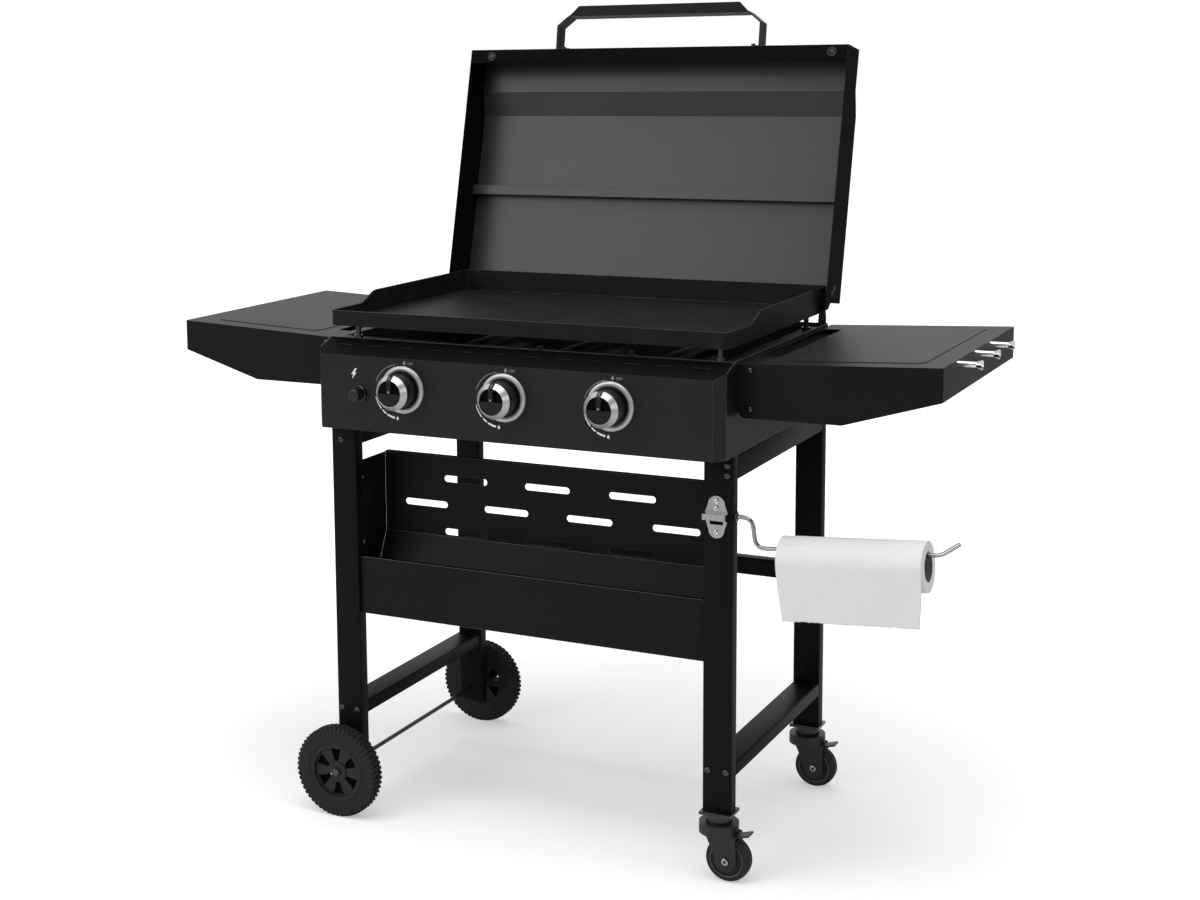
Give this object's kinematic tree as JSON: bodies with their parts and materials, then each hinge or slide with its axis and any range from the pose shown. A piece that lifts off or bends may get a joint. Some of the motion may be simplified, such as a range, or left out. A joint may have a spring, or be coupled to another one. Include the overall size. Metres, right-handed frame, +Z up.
{
  "type": "outdoor gas griddle station",
  "caption": "Wheeled gas griddle on a tube frame with a hinged hood, side shelves, storage bin, control knobs, bottle opener and paper towel rod.",
  "frame": {"origin": "middle of the object's outline, on the floor, with the hood open as at rest", "axes": "+Z up, -Y the side of the knobs, +X towards the shelf with the tool pegs"},
  "size_m": [1.4462, 0.736, 1.4485],
  "materials": {
    "frame_black": "satin black powder coat on tube",
    "sheet_black": "fine satin black powder coat on sheet steel",
    "panel_black": "smooth satin dark enamel",
    "hood_black": "smooth satin black enamel",
    "griddle_steel": "seasoned dark steel",
    "plated_steel": "zinc plated",
    "bolt_black": "black oxide",
    "chrome": "polished chrome",
    "knob_plastic": "black, bright ring on the face",
    "black_plastic": "moulded black",
    "wheel_plastic": "moulded dark grey",
    "tyre": "hard black tread",
    "caster_tread": "dark grey",
    "rubber": "soft black",
    "burner_steel": "stainless, dull",
    "brass": "plain",
    "aluminium": "cast",
    "galvanised": "galvanised sheet",
    "ceramic": "white",
    "cardboard": "plain",
    "paper": "embossed white tissue"
  },
  "bodies": {
    "stand": {"leg_front_left": "frame_black", "leg_front_right": "frame_black", "leg_rear_left": "frame_black", "leg_rear_right": "frame_black", "rail_lower_left": "frame_black", "rail_lower_right": "frame_black", "rail_upper_left": "frame_black", "rail_upper_right": "frame_black", "rear_crossbar": "frame_black", "frame_bolts": "bolt_black", "bin_panel": "sheet_black", "bin_ends": "sheet_black", "axle": "bolt_black", "caster_mounts": "plated_steel", "body_side_left": "sheet_black", "body_side_right": "sheet_black", "body_front_wall": "sheet_black", "body_back_wall": "sheet_black", "control_panel": "panel_black", "control_bezels": "chrome", "gas_valves": "brass", "gas_manifold": "aluminium", "gas_inlet": "brass", "burners": "burner_steel", "igniter_housing": "black_plastic", "igniter_electrodes": "ceramic", "hinge_brackets": "bolt_black", "shelf_left": "sheet_black", "shelf_right": "sheet_black", "shelf_brackets": "bolt_black", "tool_pegs": "chrome", "bottle_opener": "chrome", "towel_rod": "chrome", "paper_tail": "paper"},
    "hood": {"hood_shell": "hood_black", "hood_ends": "hood_black", "hood_rib": "hood_black", "hood_bumpers": "rubber", "hood_handle": "sheet_black", "hood_hinge_arms": "bolt_black", "hood_screws": "bolt_black"},
    "knob_left": {"knob_left": "knob_plastic"},
    "knob_middle": {"knob_middle": "knob_plastic"},
    "knob_right": {"knob_right": "knob_plastic"},
    "igniter_button": {"igniter_button": "black_plastic"},
    "griddle": {"griddle_plate": "griddle_steel", "griddle_feet": "bolt_black"},
    "grease_cup": {"grease_cup": "galvanised"},
    "wheel_front": {"wheel_front": "wheel_plastic", "tyre_front": "tyre"},
    "wheel_rear": {"wheel_rear": "wheel_plastic", "tyre_rear": "tyre"},
    "caster_front": {"caster_fork_front": "black_plastic"},
    "caster_rear": {"caster_fork_rear": "black_plastic"},
    "caster_wheel_front": {"caster_wheel_front": "caster_tread"},
    "caster_wheel_rear": {"caster_wheel_rear": "caster_tread"},
    "brake_front": {"brake_pedal_front": "black_plastic"},
    "brake_rear": {"brake_pedal_rear": "black_plastic"},
    "towel_roll": {"paper_core": "cardboard", "paper_roll": "paper"}
  },
  "joints": [
    {"name": "hood_hinge", "type": "hinge", "parent": "stand", "child": "hood", "pos_m": [-0.0195, 0.19825, 0.904], "axis": [-1, 0, 0], "range_deg": [-100.66, 0]},
    {"name": "knob_left_turn", "type": "hinge", "parent": "stand", "child": "knob_left", "pos_m": [-0.2185, -0.31955, 0.7931], "axis": [0, -1, 0], "range_deg": [0, 225]},
    {"name": "knob_middle_turn", "type": "hinge", "parent": "stand", "child": "knob_middle", "pos_m": [-0.0255, -0.31955, 0.7931], "axis": [0, -1, 0], "range_deg": [0, 225]},
    {"name": "knob_right_turn", "type": "hinge", "parent": "stand", "child": "knob_right", "pos_m": [0.1675, -0.31955, 0.7931], "axis": [0, -1, 0], "range_deg": [0, 225]},
    {"name": "igniter_push", "type": "slide", "parent": "stand", "child": "igniter_button", "axis": [0, 1, 0], "range_m": [0, 0.005], "stiffness_N_per_m": 400},
    {"name": "griddle_lift", "type": "slide", "parent": "stand", "child": "griddle", "axis": [0, 0, 1], "range_m": [0, 0.08]},
    {"name": "grease_cup_slide", "type": "slide", "parent": "stand", "child": "grease_cup", "axis": [0, 1, 0], "range_m": [0, 0.075]},
    {"name": "wheel_front_spin", "type": "hinge", "parent": "stand", "child": "wheel_front", "pos_m": [-0.3745, -0.30225, 0.083], "axis": [0, 1, 0], "continuous": true},
    {"name": "wheel_rear_spin", "type": "hinge", "parent": "stand", "child": "wheel_rear", "pos_m": [-0.3745, 0.25875, 0.083], "axis": [0, 1, 0], "continuous": true},
    {"name": "caster_front_swivel", "type": "hinge", "parent": "stand", "child": "caster_front", "pos_m": [0.3325, -0.25425, 0.099], "axis": [0, 0, 1], "continuous": true},
    {"name": "caster_front_spin", "type": "hinge", "parent": "caster_front", "child": "caster_wheel_front", "pos_m": [0.3505, -0.25425, 0.038], "axis": [0, 1, 0], "continuous": true},
    {"name": "brake_front_press", "type": "hinge", "parent": "caster_front", "child": "brake_front", "pos_m": [0.3625, -0.25425, 0.0785], "axis": [0, 1, 0], "range_deg": [0, 15]},
    {"name": "caster_rear_swivel", "type": "hinge", "parent": "stand", "child": "caster_rear", "pos_m": [0.3325, 0.21075, 0.099], "axis": [0, 0, 1], "continuous": true},
    {"name": "caster_rear_spin", "type": "hinge", "parent": "caster_rear", "child": "caster_wheel_rear", "pos_m": [0.3505, 0.21075, 0.038], "axis": [0, 1, 0], "continuous": true},
    {"name": "brake_rear_press", "type": "hinge", "parent": "caster_rear", "child": "brake_rear", "pos_m": [0.3625, 0.21075, 0.0785], "axis": [0, 1, 0], "range_deg": [0, 15]},
    {"name": "towel_roll_turn", "type": "hinge", "parent": "stand", "child": "towel_roll", "pos_m": [0.55403, -0.25225, 0.5599], "axis": [0.9975, 0, 0.0709], "continuous": true}
  ]
}
